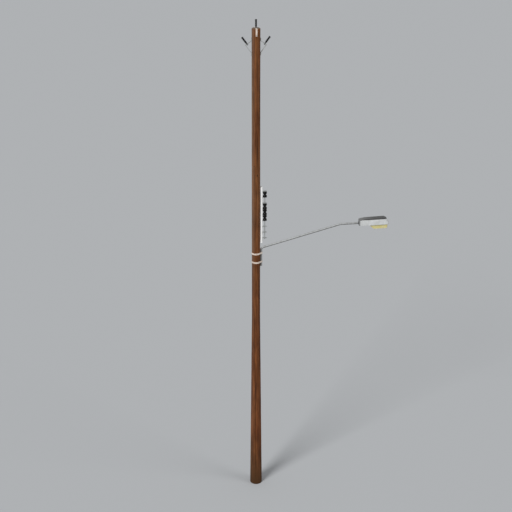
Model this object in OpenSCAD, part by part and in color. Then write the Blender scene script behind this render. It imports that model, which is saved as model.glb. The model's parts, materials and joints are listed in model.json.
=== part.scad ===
// Wooden utility pole with pole-top insulators, a secondary rack and a street lamp on a pipe arm.
// Millimetres, +Z up, origin on the pole axis at ground level, lamp arm along +X.

/* [Pole] */
// Height of the pole above the ground
pole_len = 10360; // [9000:10:12000]
// Diameter at the ground
pole_butt_d = 260; // [220:1:320]
// Diameter where the butt swell ends
pole_swell_d = 172; // [150:1:200]
// Height where the butt swell ends
pole_swell_z = 4250; // [2000:10:5000]
// Diameter at the top
pole_top_d = 167; // [140:1:170]
// Bevel of the two sawn ends
pole_bevel = 7; // [0:0.5:15]

/* [Pole-top saddle] */
// Width of the saddle strap
saddle_w = 34; // [20:1:60]
// Thickness of the saddle strap
saddle_t = 6; // [4:0.5:10]
// Length of each leg down the pole
saddle_leg = 138; // [80:1:200]
// Bolt hole in each leg
saddle_hole_d = 14; // [8:0.5:18]
// Height of the bolt hole above the foot of the leg
saddle_hole_up = 34; // [20:1:50]

/* [Side brackets] */
// Distance of the brackets below the pole top
bracket_drop = 186; // [145:1:400]
// Width of the bracket strip
bracket_w = 38; // [30:1:60]
// Thickness of the bracket strip
bracket_t = 7; // [4:0.5:10]
// Length of the upper flat on the pole
bracket_upper_flat = 56; // [40:1:120]
// Length of the lower flat on the pole
bracket_lower_flat = 44; // [40:1:120]
// How far the tip stands out from the pole
bracket_reach = 117; // [90:1:180]
// Fall of the upper leg, from the pole to the tip
bracket_upper_fall = 82; // [40:1:110]
// Fall of the lower leg, from the tip to the pole
bracket_lower_fall = 156; // [60:1:220]
// Lag screw hole in each flat
bracket_hole_d = 14; // [8:0.5:18]

/* [Insulators] */
// Height of an insulator
insulator_h = 140; // [100:1:200]
// Diameter of the insulator's core
insulator_core_d = 29; // [26:0.5:40]
// Diameter of the sheds
insulator_shed_d = 44; // [42:0.5:70]
// Number of sheds
insulator_sheds = 3; // [2:1:5]
// Distance of a side insulator's pin from the tip of its bracket, along the leg
pin_inset = 36; // [32:1:45]
// Diameter of the steel pins
pin_d = 16; // [12:0.5:18]
// Diameter of the collar at the foot of each pin
pin_collar_d = 34; // [28:0.5:42]
// Thickness of that collar
pin_collar_t = 8; // [3:0.5:10]
// Diameter of the shoulder between the collar and the insulator
pin_shoulder_d = 23; // [20:0.5:28]
// Height of that shoulder
pin_shoulder_h = 16; // [8:0.5:24]
// Depth of the pin in the insulator
pin_depth = 40; // [20:1:60]
// Width across the corners of the pin nuts
pin_nut_d = 28; // [22:0.5:34]
// Height of the pin nuts
pin_nut_h = 13; // [8:0.5:16]

/* [Rack] */
// Height of the rack's lower end above the ground
rack_z = 5897; // [5000:1:6400]
// Width of the channel across its web
channel_w = 58; // [50:1:80]
// Depth of the channel
channel_d = 35; // [30:1:50]
// Distance from the pole's side to the channel's inner edges
channel_off = 6; // [3:0.5:12]
// Thickness of the channel's walls
channel_t = 6; // [3:0.5:8]
// Mounting hole in the channel's web
channel_hole_d = 18; // [10:0.5:22]
// Distance of the mounting holes from the channel's ends
channel_hole_in = 46; // [20:1:50]
// Height of the two feet that carry the channel on the pole
channel_foot_h = 56; // [40:1:80]
// Distance of the end ears from the channel's ends
rack_margin = 97; // [80:1:110]
// Spacing of the ears
ear_pitch = 128.5; // [120:0.5:135]
// Width of an ear
ear_w = 40; // [30:1:60]
// Thickness of an ear
ear_t = 5; // [3:0.5:8]
// How far an ear stands out from the channel
ear_reach = 98; // [80:1:120]
// Height of the tab that fixes an ear to the channel
ear_tab = 38; // [25:1:60]
// Rivet hole in each tab
ear_hole_d = 11; // [6:0.5:13]

/* [Spools] */
// Diameter of the rod
rod_d = 16; // [12:0.5:20]
// Distance from the channel's outer face to the rod
rod_out = 54; // [50:0.5:60]
// How far the rod reaches past the end ears
rod_past = 22; // [15:1:40]
// Diameter of the rod's head
rod_head_d = 30; // [24:0.5:36]
// Height of the rod's head
rod_head_h = 9; // [5:0.5:14]
// Cotter hole in the rod's foot
cotter_d = 5; // [3:0.5:6]
// Diameter of a spool
spool_d = 83; // [70:1:84]
// Height of a spool
spool_h = 112; // [80:1:112]
// Radius of the spool's wire groove
spool_groove_r = 21; // [12:0.5:24]
// Depth of that groove
spool_groove_deep = 15; // [8:0.5:18]

/* [Lamp arm] */
// Outside diameter of the pipe
pipe_d = 42; // [34:0.5:48]
// Wall of the pipe
pipe_wall = 3.6; // [2:0.1:5]
// Height of the pipe's lower end above the ground
arm_foot_z = 5370; // [5000:1:5420]
// Height at which the pipe turns away from the pole
arm_knee_z = 5779; // [5750:1:5840]
// Height of the level end
arm_end_z = 6218; // [6100:1:6500]
// Distance from the pole axis to the upper bend
arm_elbow_x = 1753; // [1400:1:1900]
// Bend radius at the pole
arm_knee_r = 63; // [55:1:90]
// Bend radius of the upper bend
arm_elbow_r = 260; // [150:5:500]

/* [Bands] */
// Height of a band
band_h = 36; // [25:1:50]
// Thickness of a band
band_t = 6; // [3:0.5:9]
// Heights of the two bands' middles above the ground
band_z = [5474, 5669];
// Length of a band's bolt lugs
band_lug = 28; // [22:1:40]
// Gap between the bolt lugs
band_split = 10; // [5:0.5:16]
// Bolt hole in the lugs
band_hole_d = 11; // [8:0.5:14]

/* [Lamp head] */
// Distance from the pole axis to the lamp's pole-side end
lamp_x = 2136; // [2050:1:2300]
// Length of the lamp
lamp_len = 624; // [590:1:700]
// Width at the pole-side end
lamp_tail_w = 138; // [110:1:150]
// Width at the lens
lamp_w = 166; // [152:1:220]
// Height of the side walls
lamp_side_h = 104; // [95:1:140]
// Height of the upright skirt at their foot
lamp_skirt = 30; // [15:1:40]
// Rise of the crown above the side walls
lamp_crown = 27; // [8:1:40]
// How far the crown's flat lies inside the side walls
crown_in = 30; // [20:1:36]
// Length of the crown's ramp at the tail
crown_ramp = 110; // [60:1:150]
// How far the crown stays behind the nose's lean
crown_back = 12; // [0:1:30]
// Angle at which the lamp is set on the arm, nose up
lamp_tilt = 1.6; // [0:0.1:4]
// Wall thickness of the casting
lamp_wall = 4; // [3:0.5:6]
// Height of the arm's axis above the lamp's lower edge
lamp_entry = 39; // [34:1:60]
// Depth of the arm inside the lamp
lamp_slip = 110; // [60:1:150]
// Radius of the tail's corners
tail_r = 14; // [8:1:24]
// Radius of the nose's corners
nose_r = 54; // [48:1:70]
// How far the nose leans back towards the top
nose_rake = 36; // [20:1:55]

/* [Lens door] */
// Distance from the lamp's pole-side end to the hinge
hinge_x = 180; // [165:1:230]
// Depth of the hinge axis below the lamp's lower edge
hinge_down = 7; // [6:0.5:10]
// Outside diameter of the hinge knuckle
knuckle_d = 12; // [10:0.5:14]
// Diameter of the hinge pin
hinge_pin_d = 6; // [4:0.5:8]
// Length of the door's knuckle
knuckle_len = 70; // [40:1:100]
// Thickness of the door's frame
door_t = 7; // [5:0.5:10]
// Width of the door's frame beside the lens
door_rim = 13; // [12:0.5:18]
// Depth of the lens below the door's frame
lens_deep = 109; // [60:1:120]
// Thickness of the glass
lens_t = 5; // [3:0.5:8]
// Width of the lens's flange
flange_w = 6; // [4:0.5:8]
// Thickness of that flange
flange_t = 3; // [2:0.5:4]
// Slope length of the lens at its pole-side end
lens_slope = 112; // [60:1:125]
// Slope length of the lens at its nose and sides
lens_draft = 12; // [8:1:24]
// Radius of the lens's lower edges
lens_r = 18; // [14:1:24]

/* [Inside the lamp] */
// Height of the reflector
reflector_h = 80; // [60:1:88]
// Wall of the reflector
reflector_t = 1.5; // [1:0.1:3]
// Diameter of the lamp socket
socket_d = 46; // [40:1:50]
// Length of the lamp socket
socket_len = 62; // [50:1:75]
// Diameter of the bulb
bulb_d = 48; // [40:1:54]
// Length of the bulb
bulb_len = 196; // [130:1:220]

/* [Clearances] */
// Gap left between fixed pieces that seat on each other
seat_gap = 0.2; // [0.1:0.05:0.4]
// Gap on the radius between a pin or rod and its bore
pin_gap = 0.3; // [0.2:0.05:0.5]
// Gap under a spool, over its ear
spool_gap = 0.4; // [0.2:0.05:0.8]
// Gap between the closed lens door and the lamp
door_gap = 0.4; // [0.3:0.05:1]

/* [Hidden] */
$fn = 64;
hull_fn = 32;
eps = 0.01;
ear_count = 9;
spool_bays = [8, 6, 5, 4];
spool_count = len(spool_bays);

// Radius of the pole at height z
function pole_r(z) = (z < pole_swell_z
    ? pole_butt_d + (pole_swell_d - pole_butt_d) * z / pole_swell_z
    : pole_swell_d + (pole_top_d - pole_swell_d) * (z - pole_swell_z) / (pole_len - pole_swell_z)) / 2;

// Colours
wood = "#62422a";
galvanised = "#969896";
pale_steel = "#d8d4d0";
glaze = "#171717";
casting = "#c3c5c5";
bright = "#e2e2e0";
glass = "#d8c98a";

// Side bracket: its run of strip, as [x, z] points on the strip's middle line
bracket_x = pole_r(pole_len - bracket_drop - bracket_upper_flat - bracket_upper_fall - bracket_lower_fall
    - bracket_lower_flat) + seat_gap + bracket_t / 2;
bracket_top = pole_len - bracket_drop;
bracket_a = [bracket_x, bracket_top - bracket_upper_flat];
bracket_b = [bracket_x + bracket_reach - bracket_t / 2, bracket_a[1] - bracket_upper_fall];
bracket_c = [bracket_x, bracket_b[1] - bracket_lower_fall];
bracket_end = [bracket_x, bracket_c[1] - bracket_lower_flat];
bracket_path = [[bracket_x, bracket_top], bracket_a, bracket_b, bracket_c, bracket_end];
bracket_lean = atan2(bracket_upper_fall, bracket_b[0] - bracket_a[0]);
pin_seat = bracket_b - pin_inset * [cos(bracket_lean), -sin(bracket_lean)];
pin_rise = pin_collar_t + pin_shoulder_h;

// Rack
rack_len = 2 * rack_margin + (ear_count - 1) * ear_pitch + ear_t;
channel_in = pole_r(rack_z) + channel_off;
channel_out = channel_in + channel_d;
rod_x = channel_out + rod_out;
function ear_z(i) = rack_z + rack_margin + (i - 1) * ear_pitch;

// Lamp arm
arm_x = pole_r(arm_foot_z) + seat_gap + pipe_d / 2;
arm_rise = atan2(arm_end_z - arm_knee_z, arm_elbow_x - arm_x);
knee_turn = 90 - arm_rise;
knee_cut = arm_knee_r * tan(knee_turn / 2);
elbow_cut = arm_elbow_r * tan(arm_rise / 2);
pipe_sides = 24;

// Lamp head
door_z = -door_gap - door_t;
lens_x0 = hinge_x + door_rim;
lens_x1 = lamp_len - door_rim;
rim_r = nose_r - door_rim;
// Half the lamp's width at distance x from its pole-side end
function half_w(x) = (lamp_tail_w + (lamp_w - lamp_tail_w) * (x - tail_r) / (lamp_len - nose_r - tail_r)) / 2;

// Square to the left of the step from point p to point q
function left_of(p, q) = [p[1] - q[1], q[0] - p[0]] / norm(q - p);

// The mitred offset of a run of points to its left by distance t
function beside(path, t) = [for (i = [0:len(path) - 1])
    let (before = left_of(path[max(i, 1) - 1], path[max(i, 1)]),
         after = left_of(path[min(i, len(path) - 2)], path[min(i, len(path) - 2) + 1]))
    path[i] + t * (before + after) / (1 + before * after)];

// A flat strip of the given width, bent along a run of [x, z] points
module strip_run(path, w, t) {
    left = beside(path, t / 2);
    right = beside(path, -t / 2);
    rotate([90, 0, 0]) linear_extrude(w, center = true)
        polygon(concat(left, [for (i = [len(right) - 1:-1:0]) right[i]]));
}

// A hole along X through whatever stands at height z
module hole_x(x, z, d, depth) {
    translate([x - depth / 2, 0, z]) rotate([0, 90, 0]) cylinder(d = d, h = depth);
}

module pole_shaft() {
    color(wood) rotate_extrude()
        polygon([
            [0, 0], [pole_r(0) - pole_bevel, 0], [pole_r(pole_bevel), pole_bevel],
            [pole_r(pole_swell_z), pole_swell_z], [pole_r(pole_len - pole_bevel), pole_len - pole_bevel],
            [pole_r(pole_len) - pole_bevel, pole_len], [0, pole_len]]);
}

module top_saddle() {
    x = pole_r(pole_len - saddle_leg) + seat_gap + saddle_t / 2;
    top = pole_len + seat_gap + saddle_t / 2;
    foot = pole_len - saddle_leg;
    hole_z = foot + saddle_hole_up;
    color(pale_steel) rotate([0, 0, 90]) difference() {
        strip_run([[-x, foot], [-x, top], [x, top], [x, foot]], saddle_w, saddle_t);
        hole_x(0, hole_z, saddle_hole_d, 3 * x);
    }
}

// A pin with its collar, standing on a strip of thickness t whose middle is at z = 0
module pin(t, below) {
    color(galvanised) {
        translate([0, 0, t / 2 + seat_gap]) {
            cylinder(d = pin_collar_d, h = pin_collar_t);
            cylinder(d = pin_shoulder_d, h = pin_rise);
            cylinder(d = pin_d, h = pin_rise + pin_depth);
        }
        if (below) {
            translate([0, 0, -t / 2 - pin_nut_h - t]) cylinder(d = pin_d, h = 2 * t + pin_nut_h + pin_collar_t);
            translate([0, 0, -t / 2 - pin_nut_h - seat_gap]) cylinder(d = pin_nut_d, h = pin_nut_h, $fn = 6);
        }
    }
}

// A black post insulator with drip sheds and a grooved head, its foot at z = 0
module insulator() {
    core = insulator_core_d / 2;
    shed = insulator_shed_d / 2;
    foot_h = insulator_h * 0.12;
    head_h = insulator_h * 0.3;
    pitch = (insulator_h - foot_h - head_h) / insulator_sheds;
    neck = head_h * 0.4;
    sheds = [for (i = [0:insulator_sheds - 1]) let (z = foot_h + i * pitch) each [
        [core, z + pitch * 0.15], [shed, z + pitch * 0.3], [shed, z + pitch * 0.42], [core, z + pitch * 0.95]]];
    head_z = insulator_h - head_h;
    color(glaze) difference() {
        rotate_extrude() polygon(concat(
            [[0, 0], [core + 3, 0], [core + 3, foot_h * 0.7], [core, foot_h]],
            sheds,
            [[shed, head_z + head_h * 0.15], [shed, head_z + head_h * 0.3], [core, head_z + neck],
             [core, head_z + head_h * 0.65], [shed, head_z + head_h * 0.75], [shed, insulator_h - 4],
             [shed - 4, insulator_h], [0, insulator_h]]));
        translate([0, 0, -eps]) cylinder(d = pin_d + 2 * pin_gap, h = pin_depth + pin_gap);
    }
}

// Puts a piece on the pole's top, over the saddle
module on_saddle(up) {
    translate([0, 0, pole_len + seat_gap + saddle_t / 2 + up]) children();
}

module top_pin() {
    on_saddle(0) pin(saddle_t, false);
}

module top_insulator() {
    on_saddle(saddle_t / 2 + pin_rise + 2 * seat_gap) insulator();
}

// Mirrors a right-hand piece to the left
module on_side(side) {
    mirror([side == "left" ? 1 : 0, 0, 0]) children();
}

// Puts a piece square on the bracket's upper leg
module on_leg(up) {
    translate([pin_seat[0], 0, pin_seat[1]]) rotate([0, bracket_lean, 0]) translate([0, 0, up]) children();
}

module side_bracket(side) {
    color(galvanised) on_side(side) difference() {
        strip_run(bracket_path, bracket_w, bracket_t);
        hole_x(bracket_x, bracket_top - bracket_upper_flat / 2, bracket_hole_d, 4 * bracket_t);
        hole_x(bracket_x, bracket_end[1] + bracket_lower_flat / 2, bracket_hole_d, 4 * bracket_t);
        on_leg(-2 * bracket_t) cylinder(d = pin_d + 2 * pin_gap, h = 4 * bracket_t);
    }
}

module side_pin(side) {
    on_side(side) on_leg(0) pin(bracket_t, true);
}

module side_insulator(side) {
    on_side(side) on_leg(bracket_t / 2 + pin_rise + 2 * seat_gap) insulator();
}

// The rack's back: a channel open to the pole, on two feet cut to the pole's round
module rack_channel() {
    holes = [rack_z + channel_hole_in, rack_z + rack_len - channel_hole_in];
    foot_w = channel_w - 2 * channel_t;
    color(pale_steel) difference() {
        union() {
            difference() {
                translate([channel_in, -channel_w / 2, rack_z]) cube([channel_d, channel_w, rack_len]);
                translate([channel_in - channel_t, -foot_w / 2, rack_z - eps])
                    cube([channel_d, foot_w, rack_len + 2 * eps]);
            }
            for (z = holes)
                translate([0, -foot_w / 2 - eps, z - channel_foot_h / 2])
                    cube([channel_out - channel_t / 2, foot_w + 2 * eps, channel_foot_h]);
        }
        translate([0, 0, rack_z - eps]) cylinder(r = pole_r(rack_z) + seat_gap, h = rack_len + 2 * eps);
        for (z = holes) hole_x(channel_in, z, channel_hole_d, 4 * channel_d);
    }
}

// An ear: a tongue with a round end and a tab down the channel's web
module rack_ear(i) {
    face = channel_out + seat_gap;
    z = ear_z(i);
    tip = channel_out + ear_reach - ear_w / 2;
    color(galvanised) difference() {
        union() {
            translate([face, -ear_w / 2, z]) cube([tip - face, ear_w, ear_t]);
            translate([tip, 0, z]) cylinder(d = ear_w, h = ear_t);
            translate([face, -ear_w / 2, z + ear_t - ear_tab]) cube([ear_t, ear_w, ear_tab]);
        }
        translate([rod_x, 0, z - eps]) cylinder(d = rod_d + 2 * pin_gap, h = ear_t + 2 * eps);
        hole_x(face, z + ear_t - ear_tab * 0.6, ear_hole_d, 4 * ear_t);
    }
}

module rack_rod() {
    foot = ear_z(1) - rod_past;
    head = ear_z(ear_count) + ear_t + seat_gap;
    color(galvanised) translate([rod_x, 0, 0]) difference() {
        union() {
            translate([0, 0, foot]) cylinder(d = rod_d, h = head - foot + rod_head_h);
            translate([0, 0, head]) cylinder(d = rod_head_d, h = rod_head_h);
        }
        translate([0, rod_d, foot + rod_past / 2]) rotate([90, 0, 0]) cylinder(d = cotter_d, h = 2 * rod_d);
    }
}

// A spool insulator: two rims and a round wire groove, free to turn on the rod
module spool(i) {
    z = ear_z(spool_bays[i - 1]) + ear_t + spool_gap;
    r = spool_d / 2;
    edge = 5;
    color(glaze) translate([rod_x, 0, z]) difference() {
        rotate_extrude() polygon([
            [rod_d / 2 + pin_gap, 0], [r - edge, 0], [r, edge], [r, spool_h - edge], [r - edge, spool_h],
            [rod_d / 2 + pin_gap, spool_h]]);
        translate([0, 0, spool_h / 2]) rotate_extrude()
            translate([r + spool_groove_r - spool_groove_deep, 0]) circle(r = spool_groove_r);
    }
}

// A ring of points round the pipe at a station [x, z, lean], lean being the pipe's angle from upright
function pipe_ring(station, d) = [for (k = [0:pipe_sides - 1]) let (a = 360 * k / pipe_sides)
    [station[0] + d / 2 * cos(a) * cos(station[2]), d / 2 * sin(a), station[1] - d / 2 * cos(a) * sin(station[2])]];

// Stations round a bend that starts at [x, z] with the given lean and turns by angle
function bend_stations(start, lean, r, angle, steps) = [for (i = [0:steps]) let (a = lean + angle * i / steps)
    [start[0] + r * (cos(lean) - cos(a)), start[1] + r * (sin(a) - sin(lean)), a]];

// The lamp arm: one bent pipe, swept along its stations, open at both ends
module lamp_arm() {
    knee = bend_stations([arm_x, arm_knee_z - knee_cut], 0, arm_knee_r, knee_turn, 10);
    elbow = bend_stations([arm_elbow_x - elbow_cut * cos(arm_rise), arm_end_z - elbow_cut * sin(arm_rise)],
        knee_turn, arm_elbow_r, arm_rise, 4);
    stations = concat([[arm_x, arm_foot_z, 0]], knee, elbow, [[lamp_x + lamp_slip, arm_end_z, 90]]);
    last = len(stations) - 1;
    diameters = [pipe_d, pipe_d - 2 * pipe_wall];
    points = [for (d = diameters) for (station = stations) each pipe_ring(station, d)];
    function at(skin, i, k) = (skin * len(stations) + i) * pipe_sides + k % pipe_sides;
    outside = [for (i = [0:last - 1]) for (k = [0:pipe_sides - 1])
        [at(0, i, k), at(0, i + 1, k), at(0, i + 1, k + 1), at(0, i, k + 1)]];
    inside = [for (i = [0:last - 1]) for (k = [0:pipe_sides - 1])
        [at(1, i, k), at(1, i, k + 1), at(1, i + 1, k + 1), at(1, i + 1, k)]];
    foot = [for (k = [0:pipe_sides - 1]) [at(0, 0, k), at(0, 0, k + 1), at(1, 0, k + 1), at(1, 0, k)]];
    end = [for (k = [0:pipe_sides - 1]) [at(0, last, k), at(1, last, k), at(1, last, k + 1), at(0, last, k + 1)]];
    color(galvanised) polyhedron(points, concat(outside, inside, foot, end));
}

// The outline of a strap drawn tight round the pole and the pipe beside it; its straight runs lie a hair
// inside the true tangents, so that they cross the rounds cleanly
module wrap(pole_radius, pipe_radius) {
    hair = 0.02;
    a = acos((pole_radius - pipe_radius) / arm_x);
    from = (pole_radius - hair) * [cos(a), sin(a)];
    to = [arm_x, 0] + (pipe_radius - hair) * [cos(a), sin(a)];
    circle(r = pole_radius);
    translate([arm_x, 0]) circle(r = pipe_radius);
    polygon([from, to, [to[0], -to[1]], [from[0], -from[1]]]);
}

// A band round the pole and the pipe, split at the back between two bolt lugs
module band(z) {
    r = pole_r(z - band_h / 2) + seat_gap;
    lug_t = 2 * band_t;
    color(pale_steel) translate([0, 0, z - band_h / 2]) difference() {
        union() {
            linear_extrude(band_h) wrap(r + band_t, pipe_d / 2 + seat_gap + band_t);
            for (s = [-1, 1])
                translate([s * (band_split / 2 + lug_t / 2) - lug_t / 2, 0, 0])
                    cube([lug_t, r + band_lug, band_h]);
        }
        translate([0, 0, -eps]) linear_extrude(band_h + 2 * eps) wrap(r, pipe_d / 2 + seat_gap);
        translate([-band_split / 2, 0, -eps]) cube([band_split, r + band_lug + eps, band_h + 2 * eps]);
        translate([0, r + (band_lug + band_t) / 2, band_h / 2]) hole_x(0, 0, band_hole_d, 6 * lug_t);
    }
}

// Upright rounds at the four corners of the lamp's plan, to be hulled.
// inset moves the outline in, rake moves the nose back and tuck moves the tail in.
module plan_corners(z, h, inset, rake, tuck) {
    for (s = [-1, 1]) {
        translate([tuck + tail_r, s * (lamp_tail_w / 2 - tail_r), z])
            cylinder(r = max(tail_r - inset, 1), h = h, $fn = hull_fn);
        translate([lamp_len - rake - nose_r, s * (lamp_w / 2 - nose_r), z])
            cylinder(r = nose_r - inset, h = h, $fn = hull_fn);
    }
}

// The lamp's body: straight skirt, drafted sides with a leaning nose, and a low crown
module lamp_body(inset) {
    draft = 3;
    hull() {
        plan_corners(inset, lamp_skirt - inset, inset, 0, 0);
        plan_corners(lamp_side_h - inset - 1, 1, inset + draft, nose_rake, draft);
        plan_corners(lamp_side_h + lamp_crown - inset - 1, 1, inset + crown_in, nose_rake + crown_back,
            crown_ramp);
    }
}

// The opening over the lens, inset from the lamp's outline
module lens_outline(z, h, inset) {
    for (s = [-1, 1]) {
        translate([lens_x0 + tail_r, s * (half_w(lens_x0 + tail_r) - door_rim - tail_r), z])
            cylinder(r = max(tail_r - inset, 1), h = h, $fn = hull_fn);
        translate([lens_x1 - rim_r, s * (lamp_w / 2 - nose_r), z])
            cylinder(r = rim_r - inset, h = h, $fn = hull_fn);
    }
}

// Sets a piece on the arm's end, tilted about the point where the arm enters
module in_lamp() {
    translate([lamp_x, 0, arm_end_z]) rotate([0, -lamp_tilt, 0]) translate([0, 0, -lamp_entry]) children();
}

module lamp_housing() {
    lug = 10;
    bulkhead_x = hinge_x - lamp_wall;
    color(casting) in_lamp() {
        difference() {
            lamp_body(0);
            difference() {
                lamp_body(lamp_wall);
                translate([bulkhead_x, -lamp_w / 2, 0])
                    cube([lamp_wall, lamp_w, lamp_side_h + lamp_crown]);
            }
            translate([0, 0, -eps]) hull() lens_outline(0, 2 * lamp_wall, 0);
            translate([0, 0, lamp_entry]) rotate([0, 90 + lamp_tilt, 0])
                cylinder(d = pipe_d + 2 * seat_gap, h = 2 * lamp_slip, center = true);
        }
        for (s = [-1, 1])
            translate([hinge_x, s * (knuckle_len / 2 + 1 + lug / 2), 0]) {
                translate([-knuckle_d / 2, -lug / 2, -hinge_down]) cube([knuckle_d, lug, hinge_down + lamp_wall]);
                translate([0, lug / 2, -hinge_down]) rotate([90, 0, 0]) cylinder(d = knuckle_d, h = lug);
            }
        translate([hinge_x, knuckle_len / 2 + 2, -hinge_down]) rotate([90, 0, 0])
            cylinder(d = hinge_pin_d, h = knuckle_len + 4);
    }
}

module reflector() {
    lip_z = lamp_wall + seat_gap;
    lean = nose_rake * (lip_z + reflector_h) / lamp_side_h;
    top_inset = lean - door_rim + 3 * lamp_wall;
    color(bright) in_lamp() difference() {
        union() {
            hull() {
                lens_outline(lip_z, 1, -1);
                lens_outline(lip_z + reflector_h - 1, 1, top_inset);
            }
            hull() lens_outline(lip_z, reflector_t, -4);
        }
        hull() {
            lens_outline(lip_z - eps, 1, -1 + reflector_t);
            lens_outline(lip_z + reflector_h - 1 - reflector_t, 1, top_inset + reflector_t);
        }
        translate([hinge_x, 0, lamp_entry]) rotate([0, 90, 0])
            cylinder(d = socket_d + 2 * pin_gap, h = lamp_len / 4);
    }
}

module lamp_socket() {
    color("white") in_lamp() translate([hinge_x + seat_gap, 0, lamp_entry]) rotate([0, 90, 0])
        difference() {
            cylinder(d = socket_d, h = socket_len);
            translate([0, 0, socket_len / 2]) cylinder(d = bulb_d * 0.62 + 2 * pin_gap, h = socket_len);
        }
}

module bulb() {
    r = bulb_d / 2;
    cap_r = bulb_d * 0.31;
    color("white") in_lamp() translate([hinge_x + seat_gap + socket_len / 2 + seat_gap, 0, lamp_entry])
        rotate([0, 90, 0]) rotate_extrude()
            difference() {
                union() {
                    square([cap_r, bulb_len * 0.3]);
                    polygon([[0, bulb_len * 0.25], [cap_r, bulb_len * 0.25], [r, bulb_len * 0.5],
                             [r, bulb_len - r], [0, bulb_len - r]]);
                    translate([0, bulb_len - r]) circle(r = r);
                }
                translate([-bulb_len, -bulb_len]) square([bulb_len, 3 * bulb_len]);
            }
}

module door_frame() {
    edge = hinge_x + knuckle_d / 2 + 1;
    color(casting) in_lamp() difference() {
        union() {
            intersection() {
                hull() plan_corners(door_z, door_t, 0, 0, 0);
                translate([edge, -lamp_w / 2, door_z]) cube([lamp_len, lamp_w, door_t]);
            }
            translate([hinge_x, knuckle_len / 2, -hinge_down]) rotate([90, 0, 0])
                cylinder(d = knuckle_d, h = knuckle_len);
            translate([hinge_x, -knuckle_len / 2, door_z])
                cube([edge - hinge_x + 2, knuckle_len, knuckle_d / 2]);
        }
        translate([0, 0, door_z - eps]) hull() lens_outline(0, door_t + 2 * eps, flange_w);
        translate([0, 0, -door_gap - flange_t]) hull() lens_outline(0, door_t, 0);
        translate([hinge_x, knuckle_len / 2 + eps, -hinge_down]) rotate([90, 0, 0])
            cylinder(d = hinge_pin_d + 2 * pin_gap, h = knuckle_len + 2 * eps);
    }
}

// The glass bowl's outside, moved in by inset, with its top at height top
module lens_bowl(inset, top) {
    low = door_z - lens_deep + lens_r;
    corner_in = door_rim + flange_w + lens_draft + lens_r;
    hull() {
        lens_outline(door_z, top - door_z, flange_w + seat_gap + inset);
        for (s = [-1, 1])
            for (x = [lens_x0 + lens_slope + lens_r, lens_x1 - lens_draft - lens_r])
                translate([x, s * (half_w(x) - corner_in), low]) sphere(r = lens_r - inset, $fn = hull_fn);
    }
}

module lens() {
    top = -door_gap;
    color(glass) in_lamp() difference() {
        union() {
            lens_bowl(0, top);
            translate([0, 0, top - flange_t + seat_gap])
                hull() lens_outline(0, flange_t - seat_gap, seat_gap);
        }
        lens_bowl(lens_t, top + 1);
    }
}

pole_shaft();
top_saddle();
top_pin();
top_insulator();
for (side = ["left", "right"]) {
    side_bracket(side);
    side_pin(side);
    side_insulator(side);
}
rack_channel();
for (i = [1:ear_count]) rack_ear(i);
rack_rod();
for (i = [1:spool_count]) spool(i);
lamp_arm();
band(band_z[0]);  // lower_band
band(band_z[1]);  // upper_band
lamp_housing();
reflector();
lamp_socket();
bulb();
door_frame();
lens();
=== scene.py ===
import json
import math
import bmesh
import bpy
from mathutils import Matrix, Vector

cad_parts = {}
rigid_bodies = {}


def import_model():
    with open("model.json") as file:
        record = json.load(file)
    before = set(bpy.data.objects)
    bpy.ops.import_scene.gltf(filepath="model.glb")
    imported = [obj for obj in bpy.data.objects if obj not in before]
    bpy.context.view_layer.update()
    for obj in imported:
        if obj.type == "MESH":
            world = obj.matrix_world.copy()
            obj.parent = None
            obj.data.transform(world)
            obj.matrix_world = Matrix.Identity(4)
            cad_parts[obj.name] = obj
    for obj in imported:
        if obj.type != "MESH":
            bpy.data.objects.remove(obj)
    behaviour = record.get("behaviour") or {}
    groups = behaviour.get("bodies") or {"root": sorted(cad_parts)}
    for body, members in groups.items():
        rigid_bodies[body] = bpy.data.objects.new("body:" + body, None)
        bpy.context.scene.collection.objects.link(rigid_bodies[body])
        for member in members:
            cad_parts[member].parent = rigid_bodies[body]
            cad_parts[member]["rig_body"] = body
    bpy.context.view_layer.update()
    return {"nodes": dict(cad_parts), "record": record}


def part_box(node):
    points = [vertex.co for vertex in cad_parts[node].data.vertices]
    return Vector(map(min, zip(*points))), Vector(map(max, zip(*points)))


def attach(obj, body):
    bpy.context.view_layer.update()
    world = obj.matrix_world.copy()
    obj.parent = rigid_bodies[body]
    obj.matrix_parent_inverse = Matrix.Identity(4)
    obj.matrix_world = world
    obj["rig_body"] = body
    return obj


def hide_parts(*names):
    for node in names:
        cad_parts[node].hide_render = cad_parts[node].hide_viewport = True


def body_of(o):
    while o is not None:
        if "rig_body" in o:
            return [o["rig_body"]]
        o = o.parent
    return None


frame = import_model()
nodes = frame["nodes"]
scene = bpy.context.scene
mm = 0.001

# the lamp is set nose up on the arm's level end; its pieces are modelled from its tail's lower edge; in mm
lampSet = {"tail": 2136, "axis": 6218, "entry": 39, "tilt": 1.6, "long": 624}
lampTilt = math.radians(lampSet["tilt"])
lampUp = Vector((-math.sin(lampTilt), 0, math.cos(lampTilt)))
lampAhead = Vector((math.cos(lampTilt), 0, math.sin(lampTilt)))


def toLinear(code):
    # sRGB hex to the linear colour that sockets take
    parts = [int(code[i:i + 2], 16) / 255 for i in (1, 3, 5)]
    return [c / 12.92 if c <= 0.04045 else ((c + 0.055) / 1.055) ** 2.4 for c in parts] + [1.0]


def setInputs(tree, node, inputs):
    # a socket is linked, anything else becomes the input's own value
    for name, value in inputs.items():
        if isinstance(value, bpy.types.NodeSocket):
            tree.links.new(value, node.inputs[name])
        else:
            node.inputs[name].default_value = value


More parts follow.
